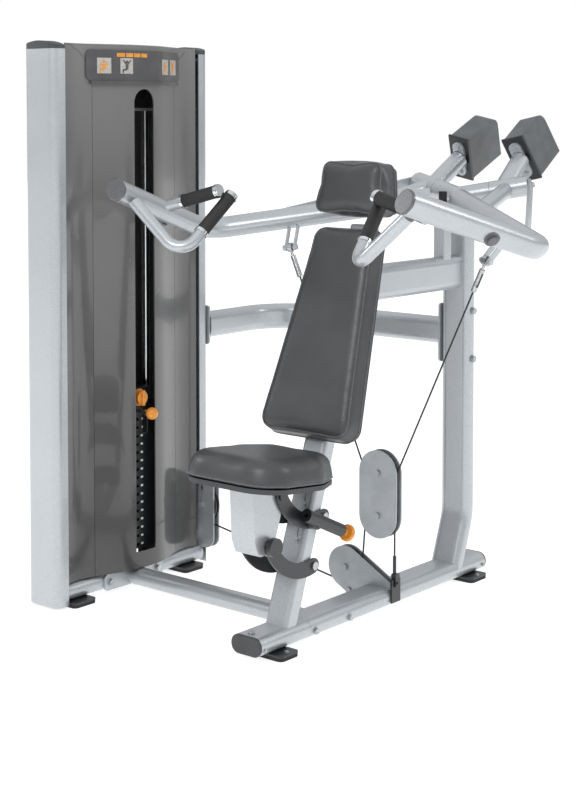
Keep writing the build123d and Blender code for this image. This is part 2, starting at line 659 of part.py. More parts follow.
def counter_lever():
    """Turning sleeve, the tube to the arm, the outer strap and the tube to the counterweight."""
    start, end = on_pivot(PIVOT_SEAM + SEAM_GAP), on_pivot(PIVOT_END)
    sleeve_solid = rod(start, end, PIVOT_RADIUS)
    root = on_pivot(LEVER_AT)
    stub_end = ARM_CORNER + (ARM_INNER - ARM_CORNER) * STUB_SHARE
    stub = rod(on_pivot(STUB_AT), stub_end, STUB_RADIUS) - ARM_SOLID
    lever = rod(root, WEIGHT_FACE - WEIGHT_DEEP * FLANGE, LEVER_RADIUS)
    flange_plane = Plane(origin=WEIGHT_FACE - WEIGHT_DEEP * FLANGE, x_dir=WEIGHT_DOWN, z_dir=WEIGHT_DEEP)
    flange = extrude(flange_plane * SlotOverall(118, 40), amount=FLANGE)
    screws = [bolt(WEIGHT_FACE - WEIGHT_DEEP * FLANGE + WEIGHT_DOWN * s * 46, -WEIGHT_DEEP,
                   6) for s in (-1, 1)]
    strap_foot = ARM_CORNER + (ARM_INNER - ARM_CORNER) * STRAP_SHARE
    to_arm = (strap_foot - end).normalized()
    facing = (PIVOT_AXIS - to_arm * to_arm.dot(PIVOT_AXIS)).normalized()
    strap_plane = Plane(origin=end, x_dir=to_arm, z_dir=facing)
    length = (strap_foot - end).length + 24
    strap = extrude(strap_plane * Pos(length / 2 - 24) * SlotOverall(length, STRAP_WIDTH), amount=8)
    strap_bolt = bolt(end + PIVOT_AXIS * 8, PIVOT_AXIS, 8)
    body = sleeve_solid + stub + lever - rod(start, on_pivot(PIVOT_END - 4 + SEAM_GAP),
                                             PIVOT_SHAFT + PIVOT_FIT)
    return body + flange + (strap - ARM_SOLID), screws[0], screws[1], strap_bolt


WEIGHT_DEEP = WEIGHT_ACROSS.cross(WEIGHT_DOWN).normalized()
lever_pieces = list(counter_lever())


def counterweight():
    """Weight block with one rounded back edge behind a flat black rim."""
    width, height, depth = WEIGHT_SIZE
    plane = Plane(origin=WEIGHT_FACE, x_dir=WEIGHT_DEEP, z_dir=WEIGHT_ACROSS)
    rim = extrude(plane * Pos(WEIGHT_RIM / 2) * RectangleRounded(WEIGHT_RIM, height, 3),
                  amount=width / 2, both=True)
    outline = Pos((WEIGHT_RIM + depth) / 2) * Rectangle(depth - WEIGHT_RIM, height - 8)
    corners = outline.vertices().sort_by(Axis.X)[-2:]
    outline = fillet(corners.sort_by(Axis.Y)[-1], 36)
    outline = fillet(outline.vertices().sort_by(Axis.Y)[0:1], 8)
    return extrude(plane * outline, amount=width / 2 - 4, both=True), rim


weight_pieces = list(counterweight())
for side_name, placed in (("right", list), ("left", mirrored)):
    node(f"arm_tube_{side_name}", *placed(arm_pieces))
    node(f"arm_cap_{side_name}", *placed(cap_pieces))
    node(f"hand_grips_{side_name}", *placed(grip_pieces))
    node(f"counter_lever_{side_name}", *placed(lever_pieces))
    node(f"counterweight_{side_name}", *placed(weight_pieces))

# Pulleys and their brackets
ALONG_Y = Vector(0, 1, 0)
ALONG_X = Vector(1, 0, 0)
TOWER_PULLEY_X = STACK_X + PITCH
REAR_TOP_Y = CABLE_Y - PITCH
CENTRE_TOP_Y = STACK_Y + PITCH
node("base_pulley", sheave((BASE_PULLEY[0], CABLE_Y, BASE_PULLEY[1]), ALONG_Y))
node("tower_pulley", sheave((TOWER_PULLEY_X, CABLE_Y, TOWER_PULLEY_Z), ALONG_Y))
node("rear_top_pulley", sheave((STACK_X, REAR_TOP_Y, TOP_PULLEY_Z), ALONG_X))
node("centre_top_pulley", sheave((STACK_X, CENTRE_TOP_Y, TOP_PULLEY_Z), ALONG_X))
node("floating_pulley_upper", sheave((0, CABLE_Y, FLOAT_HIGH_Z), ALONG_Y))
node("floating_pulley_lower", sheave((0, CABLE_Y, FLOAT_LOW_Z), ALONG_Y))


def plate_pair(sketch):
    """Two equal plates, one on each side of the cable plane."""
    gap = BRACKET_HALF_GAP
    return [front_plate(sketch, y, BRACKET_PLATE) for y in (CABLE_Y - gap - BRACKET_PLATE, CABLE_Y + gap)]


def axle_bolt(x, z, radius=AXLE, back_head=6):
    """Bolt through both plates, headed on each side."""
    reach = BRACKET_HALF_GAP + BRACKET_PLATE
    shank = rod((x, CABLE_Y - reach - 6, z), (x, CABLE_Y + reach + back_head, z), radius)
    front_head = rod((x, CABLE_Y - reach, z), (x, CABLE_Y - reach - 6, z), radius + 3)
    return shank + front_head + rod((x, CABLE_Y + reach, z), (x, CABLE_Y + reach + back_head, z), radius + 3)


def top_hanger(y):
    """Two side plates under the tower top, with the pulley axle between them."""
    plates = [block((STACK_X + s * 11.5 - 2.5, STACK_X + s * 11.5 + 2.5), (y - 28, y + 28),
                    (TOP_PULLEY_Z - 24, TOWER_TOP_Z)) for s in (-1, 1)]
    return plates[0] + plates[1] + rod((STACK_X - 17, y, TOP_PULLEY_Z), (STACK_X + 17, y, TOP_PULLEY_Z), AXLE)


tower_base, TOWER_BASE_SOLID = straight_tube((TOWER_BASE_X, TOWER_FRONT + 24, BEAM_AXIS),
                                             (TOWER_BASE_X, 2 * STACK_Y - TOWER_FRONT - 24, BEAM_AXIS),
                                             TUBE_WIDTH, TUBE_HEIGHT, TUBE_CORNER, (1, 0, 0))
base_x, base_z = BASE_PULLEY
base_outline = make_hull((Pos(base_x, base_z) * Circle(60)).edges()
                         + (Pos(-92, 36) * Circle(16)).edges()
                         + (Pos(-38, BEAM_TOP + 6) * Circle(8)).edges()
                         + (Pos(42, BEAM_TOP + 6) * Circle(8)).edges())
base_plates = [plate - BEAM_SOLID for plate in plate_pair(base_outline)]
tower_outline = Pos(TOWER_PULLEY_X, 175) * RectangleRounded(98, 232, 34)
tower_outline -= Pos(TOWER_PULLEY_X, 258) * SlotOverall(46, 9, rotation=90)
tower_plates = [plate - TOWER_BASE_SOLID for plate in plate_pair(tower_outline)]
node("pulley_brackets",
     base_plates[0] + base_plates[1] + axle_bolt(base_x, base_z) + axle_bolt(-100, 34, 5),
     tower_plates[0] + tower_plates[1] + axle_bolt(TOWER_PULLEY_X, TOWER_PULLEY_Z, AXLE, 2)
     + axle_bolt(TOWER_PULLEY_X - 30, 112, 5, 2))
float_outline = Pos(0, (FLOAT_LOW_Z + FLOAT_HIGH_Z) / 2) * SlotCenterToCenter(
    FLOAT_HIGH_Z - FLOAT_LOW_Z, 2 * FLOAT_RADIUS, rotation=90)
float_plates = plate_pair(float_outline)
node("floating_bracket", float_plates[0] + float_plates[1] + axle_bolt(0, FLOAT_LOW_Z) + axle_bolt(0,
                                                                                                   FLOAT_HIGH_Z))

# Cable anchor beside the beam, with the threaded end of the riser
anchor = block((side, side + 6), (CABLE_Y - 20, CABLE_Y + 20), (BEAM_BOTTOM + 12, ANCHOR_Z + 12))
stud_x = PITCH
fork = block((stud_x - 5, stud_x + 11), (CABLE_Y - 9, CABLE_Y + 9), (ANCHOR_Z - 10, ANCHOR_Z + 26))
fork -= block((stud_x - 1, stud_x + 7), (CABLE_Y - 21, CABLE_Y + 21), (ANCHOR_Z - 11, ANCHOR_Z + 14))
stud = rod((stud_x, CABLE_Y, ANCHOR_Z + 20), (stud_x, CABLE_Y, ANCHOR_Z + 75), 5)
riser_bore = rod((stud_x, CABLE_Y, ANCHOR_Z + 15), (stud_x, CABLE_Y, ANCHOR_Z + 76), CABLE)
anchor_pin = rod((stud_x - 8, CABLE_Y, ANCHOR_Z), (stud_x + 14, CABLE_Y, ANCHOR_Z), 4)
anchor_hole = rod((stud_x - 8, CABLE_Y, ANCHOR_Z), (stud_x + 14, CABLE_Y, ANCHOR_Z), 4)
node("cable_anchor", anchor - BEAM_SOLID - anchor_hole, fork + stud - riser_bore + anchor_pin)


def crossing(p, along_p, q, along_q):
    """Where two lines in the cable plane meet, each given by a point and a direction."""
    det = along_p[0] * -along_q[1] + along_q[0] * along_p[1]
    dx, dz = q[0] - p[0], q[1] - p[1]
    share = (dx * -along_q[1] + along_q[0] * dz) / det
    return p[0] + along_p[0] * share, p[1] + along_p[1] * share


def cable(path):
    """Round cable along a wire."""
    start = path @ 0
    return sweep(Plane(origin=start, z_dir=path % 0) * Circle(CABLE), path=path)


# Riser between the lower floating pulley and the base pulley
rise_x, rise_z = -base_x, FLOAT_LOW_Z - base_z
rise_lean = acos(2 * PITCH / hypot(rise_x, rise_z)) - atan2(rise_z, rise_x)
rise_along = (sin(rise_lean), cos(rise_lean))
rise_side = (cos(rise_lean), -sin(rise_lean))
RISER_FOOT = (base_x + PITCH * rise_side[0] + LEAD * rise_along[0],
              base_z + PITCH * rise_side[1] + LEAD * rise_along[1])
RISER_HEAD = (-PITCH * rise_side[0], FLOAT_LOW_Z - PITCH * rise_side[1])
node("cable_risers",
     rod((RISER_FOOT[0], CABLE_Y, RISER_FOOT[1]), (RISER_HEAD[0], CABLE_Y, RISER_HEAD[1]), CABLE),
     rod((stud_x, CABLE_Y, RISER_FOOT[1]), (stud_x, CABLE_Y, FLOAT_LOW_Z), CABLE))

# Drive cable: under the base and tower pulleys, up the tower and over both top pulleys
run_x, run_z = TOWER_PULLEY_X - base_x, TOWER_PULLEY_Z - base_z
run = (run_x / hypot(run_x, run_z), run_z / hypot(run_x, run_z))
run_under = (base_x - run[1] * PITCH, base_z + run[0] * PITCH)
low_corner = crossing(RISER_FOOT, rise_along, run_under, run)
tower_corner = crossing((STACK_X, 0), (0, 1), run_under, run)
CABLE_TOP = TOP_PULLEY_Z + PITCH
drive_route = [(RISER_FOOT[0], CABLE_Y, RISER_FOOT[1]), (low_corner[0], CABLE_Y, low_corner[1]),
               (tower_corner[0], CABLE_Y, tower_corner[1]), (STACK_X, CABLE_Y, CABLE_TOP),
               (STACK_X, STACK_Y, CABLE_TOP), (STACK_X, STACK_Y, TOP_PULLEY_Z - LEAD)]
node("drive_cable", cable(FilletPolyline(*drive_route, radius=PITCH)))

# Arm cable: one loop under the upper floating pulley and a run up to each arm
arm_reach = CLEVIS.Z - FLOAT_HIGH_Z
ARM_RUN_LEAN = atan2(CLEVIS.X, arm_reach) - asin(PITCH / hypot(CLEVIS.X, arm_reach))
RUN_FOOT = Vector(PITCH * cos(ARM_RUN_LEAN), CABLE_Y, FLOAT_HIGH_Z - PITCH * sin(ARM_RUN_LEAN))
loop = ThreePointArc(RUN_FOOT, (0, CABLE_Y, FLOAT_HIGH_Z - PITCH), (-RUN_FOOT.X, CABLE_Y, RUN_FOOT.Z))
node("arm_cable_loop", cable(loop))


def arm_cable():
    """Run of cable with its turnbuckle and the eye on the clevis pin."""
    along = (CLEVIS - RUN_FOOT).normalized()
    start = RUN_FOOT + along * RUN_GAP
    swage = CLEVIS - along * 92
    run_solid = rod(start, swage + along * 12, CABLE)
    body = rod(swage, CLEVIS - along * 26, 8)
    window = Plane(origin=(swage + CLEVIS - along * 26) * 0.5, x_dir=along, z_dir=CLEVIS_AXIS) * Box(40,
                                                                                                     9, 30)
    neck = rod(CLEVIS - along * 70, CLEVIS - along * 10, 4)
    eye = rod(CLEVIS - CLEVIS_AXIS * 7, CLEVIS + CLEVIS_AXIS * 7, EYE_RADIUS)
    hole = rod(CLEVIS - CLEVIS_AXIS * 8, CLEVIS + CLEVIS_AXIS * 8, CLEVIS_PIN + EYE_CLEARANCE)
    return run_solid + (body - window) + neck + eye - hole


right_run = arm_cable()
node("arm_cable_right", right_run)
node("arm_cable_left", mirror(right_run, about=Plane.YZ))

# Weight tower: frame
TOP_THICKNESS = 8


def column(y):
    """Square corner column between the base tube and the top plate."""
    plane = Plane(origin=(COLUMN_X, y, BEAM_AXIS), x_dir=(1, 0, 0), z_dir=(0, 0, 1))
    outer = extrude(plane * RectangleRounded(COLUMN, COLUMN, 4), amount=TOWER_TOP_Z - BEAM_AXIS)
    inner = extrude(plane * Rectangle(COLUMN - 5, COLUMN - 5), amount=TOWER_TOP_Z - BEAM_AXIS)
    return outer - inner - TOWER_BASE_SOLID


def across_tower(y):
    """The same distance on the other side of the stack."""
    return 2 * STACK_Y - y


def tower_shelf(bottom):
    """Plate across the tower from column to column."""
    reach = COLUMN / 2 + 3
    ends = (TOWER_FRONT + 24 - reach, across_tower(TOWER_FRONT + 24) + reach)
    return block((COLUMN_X - COLUMN / 2, STACK_X + 30), ends, (bottom, bottom + TOP_THICKNESS))


column_solids = [Pos(COLUMN_X, y, 700) * Box(COLUMN, COLUMN, 1700) for y in
                 (TOWER_FRONT + 24, across_tower(TOWER_FRONT + 24))]
cable_hole = rod((STACK_X, STACK_Y, GUIDE_TOP - 1), (STACK_X, STACK_Y, GUIDE_TOP + 20), 14)
cable_gap = block((STACK_X - 8, STACK_X + 40), (CABLE_Y - 12, CABLE_Y + 40), (GUIDE_TOP - 1, GUIDE_TOP + 20))
guide_shelf = tower_shelf(GUIDE_TOP) - cable_hole - cable_gap
top_plate = tower_shelf(TOWER_TOP_Z)
node("tower_frame", tower_base, column(TOWER_FRONT + 24), column(across_tower(TOWER_FRONT + 24)),
     guide_shelf - column_solids, top_plate + top_hanger(REAR_TOP_Y) + top_hanger(CENTRE_TOP_Y))

GUIDES = [STACK_Y - GUIDE_SPACING, STACK_Y + GUIDE_SPACING]
node("guide_rods", *[rod((STACK_X, y, BEAM_TOP), (STACK_X, y, GUIDE_TOP), GUIDE_RADIUS) for y in GUIDES])
node("rubber_stops", bumper,
     *[rod((STACK_X, y, BEAM_TOP), (STACK_X, y, STACK_BOTTOM), 27, GUIDE_RADIUS + 0.3) for y in GUIDES])


def stack_plate(bottom, thickness):
    """Weight plate with guide holes, the selector hole and the cross hole for the pin."""
    outline = Pos(STACK_X, STACK_Y) * RectangleRounded(STACK_WIDTH, STACK_LENGTH, 8)
    outline -= [Pos(STACK_X, y) * Circle(GUIDE_RADIUS + 1) for y in GUIDES]
    outline -= Pos(STACK_X, STACK_Y) * Circle(SELECTOR_ROD + 1)
    plate = Pos(0, 0, bottom) * extrude(outline, amount=thickness)
    z = bottom + thickness / 2
    return plate - rod((STACK_X - 16, STACK_Y, z), (STACK_X + STACK_WIDTH, STACK_Y, z), PIN_RADIUS + 0.6)


node("weight_plates", *[stack_plate(STACK_BOTTOM + k * PLATE_PITCH, PLATE_PITCH - PLATE_GAP)
                        for k in range(PLATE_COUNT)])
HEAD_BOTTOM = STACK_BOTTOM + PLATE_COUNT * PLATE_PITCH
HEAD_TOP = HEAD_BOTTOM + PLATE_PITCH
PIN_Z = HEAD_BOTTOM + (PLATE_PITCH - PLATE_GAP) / 2
STACK_FACE = STACK_X + STACK_WIDTH / 2


def head_plate():
    """Top plate of the stack with its increment carrier, selector rod and cable stud."""
    plate = stack_plate(HEAD_BOTTOM, PLATE_PITCH)
    carrier = block((STACK_X - 40, STACK_FACE), (STACK_Y - 52, STACK_Y + 52), (HEAD_TOP, HEAD_TOP + 56))
    stud_top = HEAD_TOP + 84
    selector = rod((STACK_X, STACK_Y, STACK_BOTTOM + 8), (STACK_X, STACK_Y, stud_top), SELECTOR_ROD)
    holes = [rod((STACK_X - 12, STACK_Y, z), (STACK_X + 12, STACK_Y, z), PIN_RADIUS + 0.6)
             for z in [STACK_BOTTOM + (k + 0.5) * PLATE_PITCH for k in range(PLATE_COUNT)] + [PIN_Z]]
    dial_hole = rod((STACK_FACE - 20, STACK_Y, DIAL_Z), (STACK_FACE + 1, STACK_Y, DIAL_Z), 6 + PIVOT_FIT)
    body = plate + carrier + selector
    socket = rod((STACK_X, STACK_Y, stud_top - 20), (STACK_X, STACK_Y, stud_top + 1), CABLE)
    return body - holes - dial_hole - socket


DIAL_Z = HEAD_TOP + 29
CABLE_SOCKET = HEAD_TOP + 64
node("head_plate", head_plate())
node("stack_cable", rod((STACK_X, STACK_Y, CABLE_SOCKET), (STACK_X, STACK_Y, TOP_PULLEY_Z - LEAD), CABLE))
dial_face = STACK_FACE + 0.4
dial = rod((dial_face, STACK_Y, DIAL_Z), (dial_face + 8, STACK_Y, DIAL_Z), 25)
dial += rod((dial_face + 8, STACK_Y, DIAL_Z), (dial_face + 22, STACK_Y, DIAL_Z), 20)
dial += block((dial_face + 20, dial_face + 27), (STACK_Y - 5, STACK_Y + 5), (DIAL_Z - 22, DIAL_Z + 22))
node("increment_dial", dial + rod((STACK_FACE - 19, STACK_Y, DIAL_Z), (dial_face, STACK_Y, DIAL_Z), 6))

pin_end = STACK_X - 14
knob_face = STACK_FACE + 46
pin = rod((pin_end, STACK_Y, PIN_Z), (knob_face, STACK_Y, PIN_Z), PIN_RADIUS)
pin_knob = rod((knob_face - 12, STACK_Y, PIN_Z), (knob_face, STACK_Y, PIN_Z), 9)
pin_ball = Pos(knob_face + 14, STACK_Y, PIN_Z) * Sphere(18)
node("selector_pin", pin + pin_knob + pin_ball)


def lanyard():
    """Cord from an eye beside the pin down and back up to a ring round the pin."""
    x = STACK_FACE + 14
    loop_low = PIN_Z - 66
    route = [(x, STACK_Y, PIN_Z - 9), (x, STACK_Y, loop_low), (x, STACK_Y + 26, loop_low),
             (x, STACK_Y + 26, PIN_Z), (STACK_FACE, STACK_Y + 26, PIN_Z)]
    wire = FilletPolyline(*route, radius=9)
    cord = sweep(Plane(origin=wire @ 0, z_dir=wire % 0) * Circle(2), path=wire)
    return cord + Plane(origin=(x, STACK_Y, PIN_Z), z_dir=(1, 0, 0)) * Torus(8, 2)


node("pin_lanyard", lanyard())

# Weight tower: covers


def panel_outline(inset):
    """Front half of a rounded channel section."""
    width = PANEL_INNER - TOWER_OUTER
    centre = (PANEL_INNER + TOWER_OUTER) / 2
    rounded = Pos(centre, TOWER_FRONT + 60) * RectangleRounded(width - 2 * inset, 120 - 2 * inset, 24 - inset)
    return rounded & Pos(centre, TOWER_FRONT + PANEL_WRAP / 2) * Rectangle(400, PANEL_WRAP)


def mirrored_over_stack(piece):
    """The same piece at the rear of the tower."""
    return mirror(piece, about=Plane(origin=(0, STACK_Y, 0), x_dir=(1, 0, 0), z_dir=(0, 1, 0)))


channel = panel_outline(0) - panel_outline(PANEL_WALL)
front_panel = Pos(0, 0, PANEL_BOTTOM) * extrude(channel, amount=PANEL_TOP - PANEL_BOTTOM)
pulley_opening = block((STACK_X - 8, PANEL_INNER + 20), (CABLE_Y - 24, CABLE_Y + 17), (0, 300))
node("side_panels", front_panel, mirrored_over_stack(front_panel) - pulley_opening)


def panel_cap():
    """Arched end cap on a side panel."""
    body = Pos(0, 0, PANEL_TOP) * extrude(panel_outline(0), amount=CAP_TOP - PANEL_TOP)
    middle = (TOWER_OUTER + PANEL_INNER) / 2
    arch = ThreePointArc((TOWER_OUTER - 1, CAP_TOP - 13), (middle, CAP_TOP), (PANEL_INNER + 1, CAP_TOP - 13))
    base = Polyline((PANEL_INNER + 1, CAP_TOP - 13), (PANEL_INNER + 1, PANEL_TOP - 1),
                    (TOWER_OUTER - 1, PANEL_TOP - 1), (TOWER_OUTER - 1, CAP_TOP - 13))
    return body & front_plate(make_face([*arch.edges(), *base.edges()]), TOWER_FRONT - 5, 400)


# Bowed plan of the cover as (distance from the stack's centre, depth behind the crest)
COVER_CREST = -632
COVER_BOW = [(0, 0), (61, 4), (134, 30), (264, 46)]


def bow(shift):
    """Plan curve of the bowed cover, moved outward by shift."""
    half = [(COVER_CREST - depth + shift, STACK_Y + away) for away, depth in COVER_BOW]
    other = [(x, 2 * STACK_Y - y) for x, y in half[:0:-1]]
    return Spline(*other, *half)


def bowed_shell(inner, outer, bottom, top):
    """Sheet between two shifts of the bow and two heights."""
    near, far = bow(inner), bow(outer)
    sides = [Line(near @ 0, far @ 0), Line(near @ 1, far @ 1)]
    face = make_face([near.edge(), far.edge(), *[line.edge() for line in sides]])
    return Pos(0, 0, bottom) * extrude(face, amount=top - bottom)


cap = panel_cap()
lid_curve = bow(-COVER_WALL - 0.3)
lid_back = Polyline(lid_curve @ 0, (TOWER_OUTER + 1, (lid_curve @ 0).Y),
                    (TOWER_OUTER + 1, (lid_curve @ 1).Y), lid_curve @ 1)
lid = Pos(0, 0, PANEL_TOP) * extrude(make_face([*lid_curve.edges(), *lid_back.edges()]), amount=5)
node("panel_caps", cap, mirrored_over_stack(cap), lid)

shell = bowed_shell(-COVER_WALL, 0, COVER_BOTTOM, COVER_TOP)
far_seam = across_tower(COVER_SEAM_Y)
cover_end = STACK_Y - COVER_BOW[-1][0]


def seam_outline():
    """Edge of the centre panel: straight sides that flare out under the top."""
    flare_z = COVER_TOP - 108
    points = [(cover_end - 2, COVER_TOP + 2), (COVER_SEAM_Y - 24, COVER_TOP - 42), (COVER_SEAM_Y, flare_z)]
    near = ThreePointArc(*points)
    far = ThreePointArc(*[(across_tower(y), z) for y, z in points])
    below = Polyline(points[2], (COVER_SEAM_Y, COVER_BOTTOM - 2), (far_seam, COVER_BOTTOM - 2),
                     (far_seam, flare_z))
    top = Line(points[0], (across_tower(points[0][0]), points[0][1]))
    return make_face([near.edge(), far.edge(), top.edge(), *below.edges()])


seam = seam_outline()
slot_half = SLOT_WIDTH / 2
slot_shape = Pos(STACK_Y, (SLOT_BOTTOM + SLOT_TOP - slot_half) / 2) * Rectangle(SLOT_WIDTH,
                                                                                SLOT_TOP - slot_half - SLOT_BOTTOM)
slot_shape += Pos(STACK_Y, SLOT_TOP - slot_half) * Circle(slot_half)
node("centre_panel", shell & side_plate(seam, COVER_CREST - 80, 100) - side_plate(slot_shape,
                                                                                  COVER_CREST - 80, 100))
node("tower_cover", shell - side_plate(offset(seam, 1.2), COVER_CREST - 80, 100))


def placard():
    """Instruction plate on the cover with a thick lip under it."""
    half = 188
    plate = bowed_shell(0.3, 6, PLACARD_BOTTOM, PLACARD_TOP)
    outline = Pos(STACK_Y, (PLACARD_BOTTOM + PLACARD_TOP) / 2) * RectangleRounded(2 * half,
                                                                                  PLACARD_TOP - PLACARD_BOTTOM, 16)
    lip = bowed_shell(0.3, 13, PLACARD_BOTTOM - 9, PLACARD_BOTTOM)
    lip_outline = Pos(STACK_Y, PLACARD_BOTTOM - 4) * Rectangle(2 * half - 24, 14)
    return (plate & side_plate(outline, COVER_CREST - 80, 120)) + (lip & side_plate(lip_outline,
                                                                                    COVER_CREST - 80, 120))


node("placard", placard())
node("back_cover", block((TOWER_OUTER, TOWER_OUTER + 3), (TOWER_FRONT + PANEL_WRAP + 0.5,
                                                          across_tower(TOWER_FRONT + PANEL_WRAP + 0.5)),
                         (COVER_BOTTOM, PANEL_TOP)))

os.makedirs("parts", exist_ok=True)
for name, solids in NODES.items():
    export_step(Compound(solids) if len(solids) > 1 else solids[0], f"parts/{name}.step")
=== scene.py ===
import math

import bmesh
import bpy
from mathutils import Matrix, Vector
from mathutils.bvhtree import BVHTree


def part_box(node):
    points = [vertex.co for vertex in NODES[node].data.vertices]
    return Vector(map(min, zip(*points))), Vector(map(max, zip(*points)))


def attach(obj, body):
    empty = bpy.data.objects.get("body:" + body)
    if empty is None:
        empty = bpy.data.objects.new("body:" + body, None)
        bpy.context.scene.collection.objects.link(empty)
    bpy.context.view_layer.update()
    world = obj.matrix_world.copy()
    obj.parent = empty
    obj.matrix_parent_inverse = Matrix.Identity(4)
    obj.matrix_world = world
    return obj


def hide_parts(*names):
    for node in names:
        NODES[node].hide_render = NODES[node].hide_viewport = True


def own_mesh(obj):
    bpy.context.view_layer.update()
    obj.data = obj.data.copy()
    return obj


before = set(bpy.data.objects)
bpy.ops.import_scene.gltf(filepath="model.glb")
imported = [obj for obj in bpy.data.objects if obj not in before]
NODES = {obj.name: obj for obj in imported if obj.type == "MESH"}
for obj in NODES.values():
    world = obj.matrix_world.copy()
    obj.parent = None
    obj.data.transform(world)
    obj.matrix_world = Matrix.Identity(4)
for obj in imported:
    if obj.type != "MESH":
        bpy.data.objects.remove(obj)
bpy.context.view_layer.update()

# Studio: a white sweep under three soft boxes. The machine is seen from the user's right,
# from a little below the height of the top of the tower.
CAMERA_PLACE = Vector((2.623, -3.074, 1.3866))
CAMERA_TURN = math.radians(39.70)
CAMERA_PITCH = math.radians(3.05)
camera = bpy.data.objects.new("camera", bpy.data.cameras.new("camera"))
camera.data.lens = 71.53
camera.data.shift_y = -0.25
camera.data.clip_end = 60
camera.location = CAMERA_PLACE
camera.rotation_euler = (math.pi / 2 - CAMERA_PITCH, 0, CAMERA_TURN)
scene = bpy.context.scene
scene.collection.objects.link(camera)
scene.camera = camera
scene.view_settings.view_transform = "Standard"


def linear(code):
    """Linear colour of an sRGB hex value."""
    parts = [int(code[i:i + 2], 16) / 255 for i in (1, 3, 5)]
    return [c / 12.92 if c <= 0.04045 else ((c + 0.055) / 1.055) ** 2.4 for c in parts] + [1]


def add(tree, kind, sockets=None, **settings):
    """Add a node with its settings. A socket is given a value, or another node's output."""
    made = tree.nodes.new(kind)
    for name, value in settings.items():
        setattr(made, name, value)
    for name, value in (sockets or {}).items():
        if isinstance(value, bpy.types.NodeSocket):
            tree.links.new(value, made.inputs[name])
        else:
            made.inputs[name].default_value = value
    return made


def material(name, **sockets):
    """New material with a Principled shader; returns it with its tree and shader."""
    made = bpy.data.materials.new(name)
    made.use_nodes = True
    tree = made.node_tree
    shader = tree.nodes["Principled BSDF"]
    for key, value in sockets.items():
        shader.inputs[key.replace("_", " ")].default_value = value
    return made, tree, shader


world = bpy.data.worlds.new("studio")
world.use_nodes = True
scene.world = world
sky = world.node_tree
height = add(sky, "ShaderNodeSeparateXYZ",
             {0: add(sky, "ShaderNodeTexCoord").outputs["Generated"]})
fade = add(sky, "ShaderNodeMapRange",
           {"Value": height.outputs["Z"], "From Min": -0.2, "From Max": 0.9,
            "To Min": 0.3, "To Max": 0.95})
dim = add(sky, "ShaderNodeBackground", {"Color": (0.97, 0.98, 1, 1), "Strength": fade.outputs[0]})
white = add(sky, "ShaderNodeBackground", {"Color": (1, 1, 1, 1), "Strength": 1.0})
seen = add(sky, "ShaderNodeMixShader",
           {0: add(sky, "ShaderNodeLightPath").outputs["Is Camera Ray"],
            1: dim.outputs[0], 2: white.outputs[0]})
sky.links.new(seen.outputs[0], sky.nodes["World Output"].inputs[0])
# Place, aim, size in metres and power in watts of each soft box.
SOFT_BOXES = (((1.0, -3.4, 3.6), (0, 0.3, 0.7), 1.6, 62),
              ((-4.2, -1.8, 2.6), (-0.6, 0.3, 0.8), 1.0, 28),
              ((3.4, 2.6, 3.0), (0, 0.5, 0.8), 1.2, 32))
for number, (place, aim, size, power) in enumerate(SOFT_BOXES):
    lamp = bpy.data.objects.new(f"soft_box_{number}",
                                bpy.data.lights.new(f"soft_box_{number}", "AREA"))
    lamp.data.energy = power
    lamp.data.size = size
    lamp.location = place
    lamp.rotation_euler = (Vector(aim) - Vector(place)).to_track_quat("-Z", "Y").to_euler()
    scene.collection.objects.link(lamp)

floor_paint, tree, shader = material("white_sweep", Roughness=0.6)
shader.inputs["Base Color"].default_value = linear("#C8C8C8")
glow = add(tree, "ShaderNodeEmission", {"Color": (1, 1, 1, 1), "Strength": 0.72})
both = add(tree, "ShaderNodeAddShader", {0: shader.outputs[0], 1: glow.outputs[0]})
tree.links.new(both.outputs[0], tree.nodes["Material Output"].inputs[0])
sheet = bmesh.new()
bmesh.ops.create_circle(sheet, cap_ends=True, segments=64, radius=30)
floor = bpy.data.objects.new("floor", bpy.data.meshes.new("floor"))
sheet.to_mesh(floor.data)
sheet.free()
floor.location.z = -0.0005
floor.data.materials.append(floor_paint)
scene.collection.objects.link(floor)


def noise(tree, spacing, detail=2.0):
    """Noise with bumps about that many millimetres apart, fixed to the piece."""
    place = add(tree, "ShaderNodeTexCoord").outputs["Object"]
    return add(tree, "ShaderNodeTexNoise",
               {"Vector": place, "Scale": 1000 / spacing, "Detail": detail}).outputs["Fac"]


def ramp(tree, fac, low, high, start=0.35, end=0.65):
    """Colour that runs between two hex values."""
    made = add(tree, "ShaderNodeValToRGB", {"Fac": fac})
    made.color_ramp.elements[0].position = start
    made.color_ramp.elements[1].position = end
    made.color_ramp.elements[0].color = linear(low)
    made.color_ramp.elements[1].color = linear(high)
    return made.outputs["Color"]


def bump(tree, shader, fac, depth, strength=1.0):
    """Bump of that depth in millimetres on the shader."""
    made = add(tree, "ShaderNodeBump",
               {"Height": fac, "Distance": depth / 1000, "Strength": strength})
    tree.links.new(made.outputs["Normal"], shader.inputs["Normal"])


def between(tree, fac, low, high):
    """A number that runs between two values with the pattern."""
    return add(tree, "ShaderNodeMapRange",
               {"Value": fac, "To Min": low, "To Max": high}).outputs[0]


# Painted steel frame: mild steel tube under a silver metallic powder coat, with fine metal
# flake, broad patches that are a little duller, and a slight orange peel.
silver, tree, shader = material("silver_powder_coat", Metallic=0.55, Coat_Weight=0.25,
                                Coat_Roughness=0.12)
flake = noise(tree, 1.4, 1.0)
patch = noise(tree, 180)
shade = add(tree, "ShaderNodeMix",
            {0: 0.35, 6: ramp(tree, flake, "#A2A7AB", "#CDD1D4"),
             7: ramp(tree, patch, "#B4B8BC", "#BEC2C5")}, data_type="RGBA")
tree.links.new(shade.outputs[2], shader.inputs["Base Color"])
tree.links.new(between(tree, patch, 0.26, 0.38), shader.inputs["Roughness"])
bump(tree, shader, noise(tree, 3), 0.03, 0.5)


